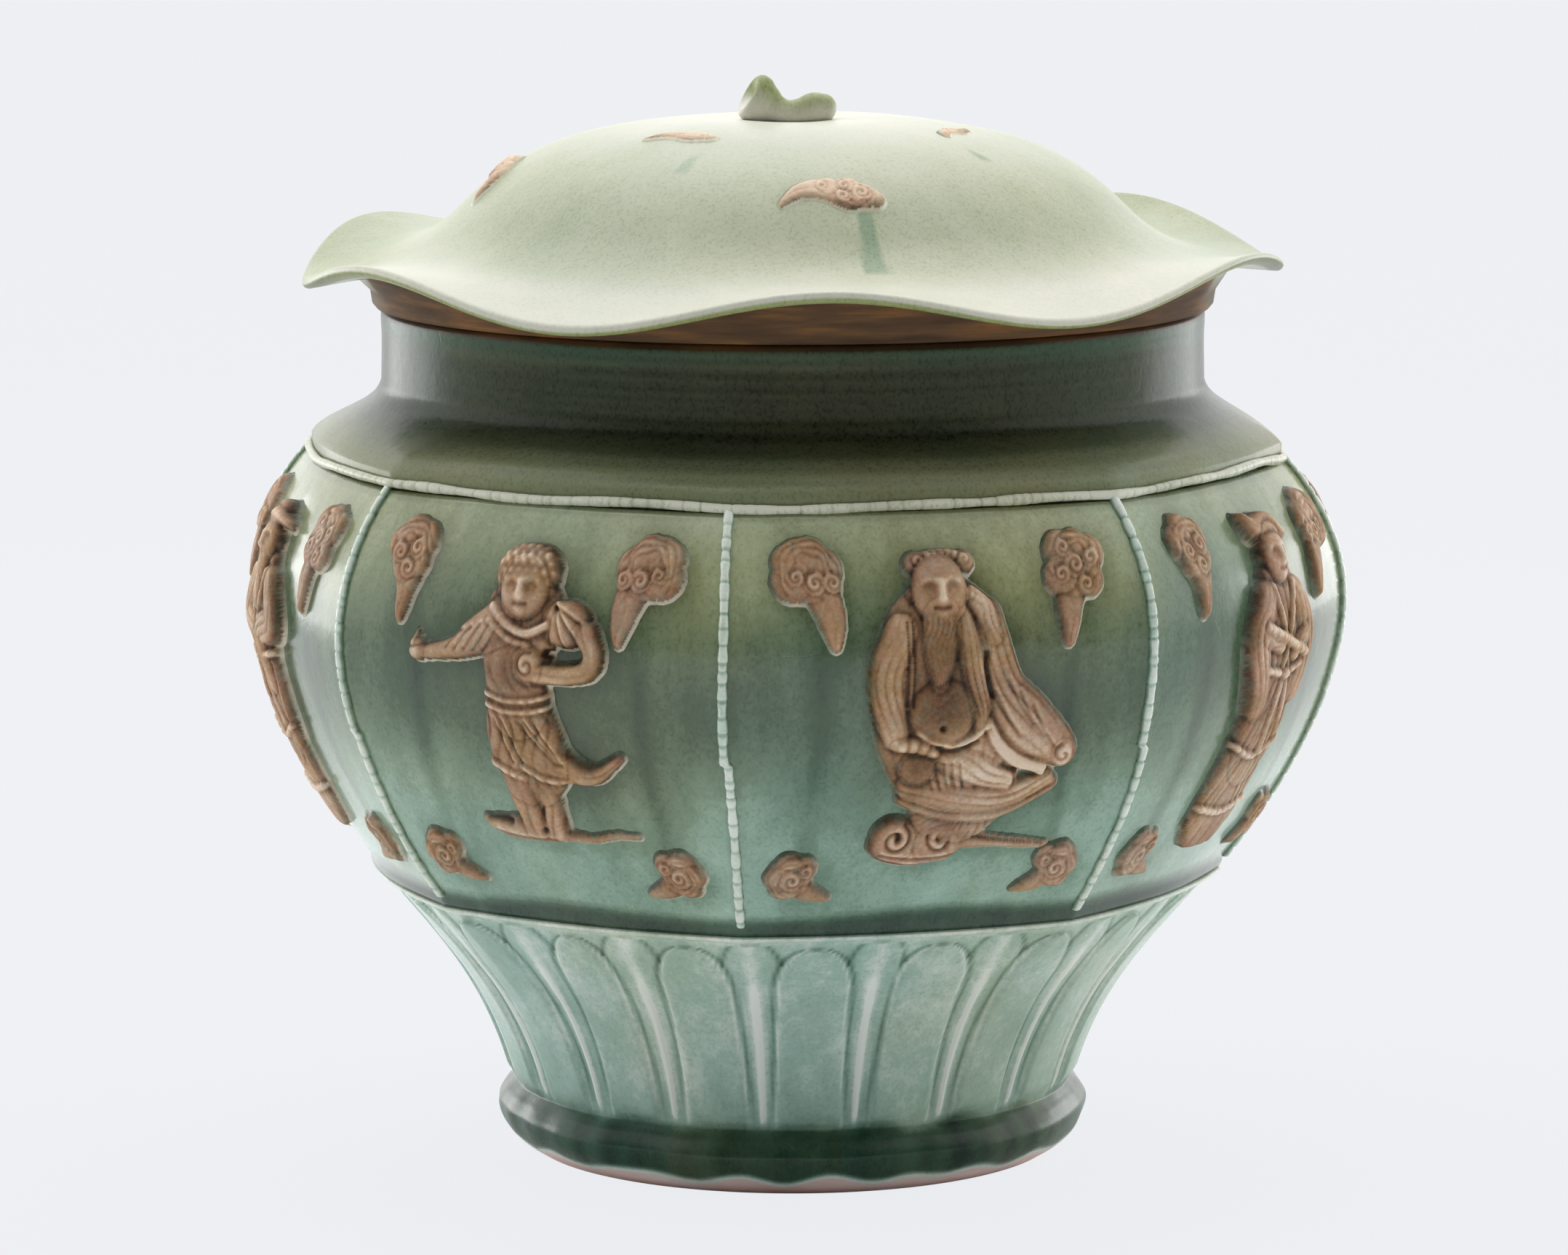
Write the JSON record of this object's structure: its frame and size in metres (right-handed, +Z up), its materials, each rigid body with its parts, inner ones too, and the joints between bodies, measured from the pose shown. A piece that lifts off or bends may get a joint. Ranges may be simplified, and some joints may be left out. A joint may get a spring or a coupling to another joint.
{
  "type": "covered jar",
  "caption": "Bulbous eight-panelled celadon storage jar with relief figures and clouds in bare clay, lotus-petal foot and a lift-off lotus-leaf lid.",
  "frame": {"origin": "centre of the foot's resting face, on the jar's axis", "axes": "+Z up along the jar's axis, -Y towards the panel with the seated sage, +X to that panel's right"},
  "size_m": [0.3105, 0.3112, 0.3031],
  "materials": {
    "body_glaze": "glossy blue-green celadon glaze, darker where it pools",
    "neck_glaze": "glossy olive celadon glaze with throwing lines",
    "petal_glaze": "pale celadon glaze over carved petals, dark green at the foot",
    "lid_glaze": "pale yellow-green celadon glaze, finely mottled",
    "thin_glaze": "thin whitish glaze over beaded cords",
    "bare_clay": "matt unglazed reddish-brown clay",
    "burnt_clay": "matt unglazed clay burnt russet"
  },
  "bodies": {
    "jar": {"petal_skirt": "petal_glaze", "base_saucer": "body_glaze", "lower_belly": "body_glaze", "upper_belly": "body_glaze", "collar": "neck_glaze", "rib_1": "thin_glaze", "rib_2": "thin_glaze", "rib_3": "thin_glaze", "rib_4": "thin_glaze", "rib_5": "thin_glaze", "rib_6": "thin_glaze", "rib_7": "thin_glaze", "rib_8": "thin_glaze", "seated_sage": "bare_clay", "capped_figure": "bare_clay", "staff_figure": "bare_clay", "fan_figure": "bare_clay", "veiled_figure": "bare_clay", "scroll_figure": "bare_clay", "robed_figure": "bare_clay", "running_figure": "bare_clay", "high_cloud_1_left": "bare_clay", "high_cloud_1_right": "bare_clay", "low_cloud_1_left": "bare_clay", "low_cloud_1_right": "bare_clay", "high_cloud_2_left": "bare_clay", "high_cloud_2_right": "bare_clay", "low_cloud_2_left": "bare_clay", "low_cloud_2_right": "bare_clay", "high_cloud_3_left": "bare_clay", "high_cloud_3_right": "bare_clay", "low_cloud_3_left": "bare_clay", "low_cloud_3_right": "bare_clay", "high_cloud_4_left": "bare_clay", "high_cloud_4_right": "bare_clay", "low_cloud_4_left": "bare_clay", "low_cloud_4_right": "bare_clay", "high_cloud_5_left": "bare_clay", "high_cloud_5_right": "bare_clay", "low_cloud_5_left": "bare_clay", "low_cloud_5_right": "bare_clay", "high_cloud_6_left": "bare_clay", "high_cloud_6_right": "bare_clay", "low_cloud_6_left": "bare_clay", "low_cloud_6_right": "bare_clay", "high_cloud_7_left": "bare_clay", "high_cloud_7_right": "bare_clay", "low_cloud_7_left": "bare_clay", "low_cloud_7_right": "bare_clay", "high_cloud_8_left": "bare_clay", "high_cloud_8_right": "bare_clay", "low_cloud_8_left": "bare_clay", "low_cloud_8_right": "bare_clay"},
    "lid": {"lid_leaf": "lid_glaze", "lid_flange": "burnt_clay", "stalk_knob": "lid_glaze", "lid_cloud_front": "bare_clay", "lid_cloud_left": "bare_clay", "lid_cloud_near_crown": "bare_clay", "lid_cloud_far_crown": "bare_clay"}
  },
  "joints": [
    {"name": "lid_lift", "type": "slide", "parent": "jar", "child": "lid", "axis": [0, 0, 1], "range_m": [0, 0.12]}
  ]
}
